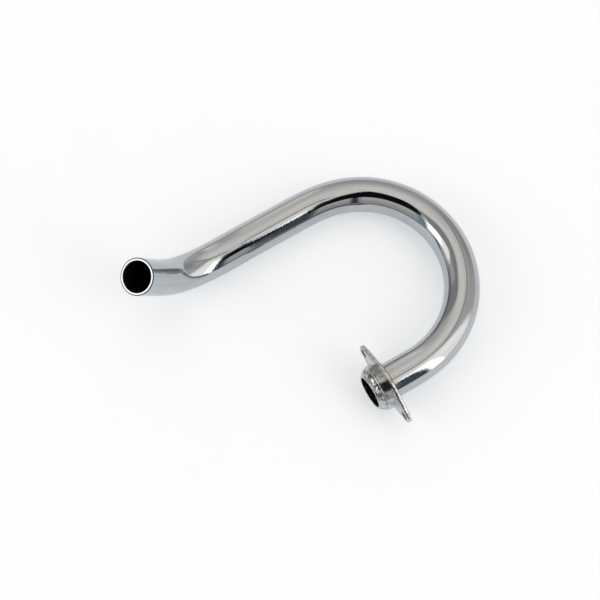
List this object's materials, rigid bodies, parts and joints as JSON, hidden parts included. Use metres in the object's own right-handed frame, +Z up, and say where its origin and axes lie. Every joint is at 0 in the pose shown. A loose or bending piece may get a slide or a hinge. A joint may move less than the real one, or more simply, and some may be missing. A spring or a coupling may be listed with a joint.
{
  "type": "motorcycle exhaust pipe",
  "caption": "Chromed motorbike header pipe: a steel tube in a half-circle bend with a raised outlet end and a welded two-stud port flange at its inlet.",
  "frame": {"origin": "centre of the inlet mouth, in the plane of the tube's end", "axes": "+X into the pipe along the inlet, +Y towards the leg that the bend returns along, +Z up from the floor that the pipe lies on"},
  "size_m": [0.2574, 0.2054, 0.0775],
  "materials": {
    "tube_chrome": "bright polished chrome plate",
    "flange_chrome": "chrome plate over an unpolished forging",
    "weld_chrome": "chrome plate over a rippled weld bead"
  },
  "bodies": {
    "root": {"header_tube": "tube_chrome", "port_flange": "flange_chrome", "flange_weld": "weld_chrome"}
  },
  "joints": []
}
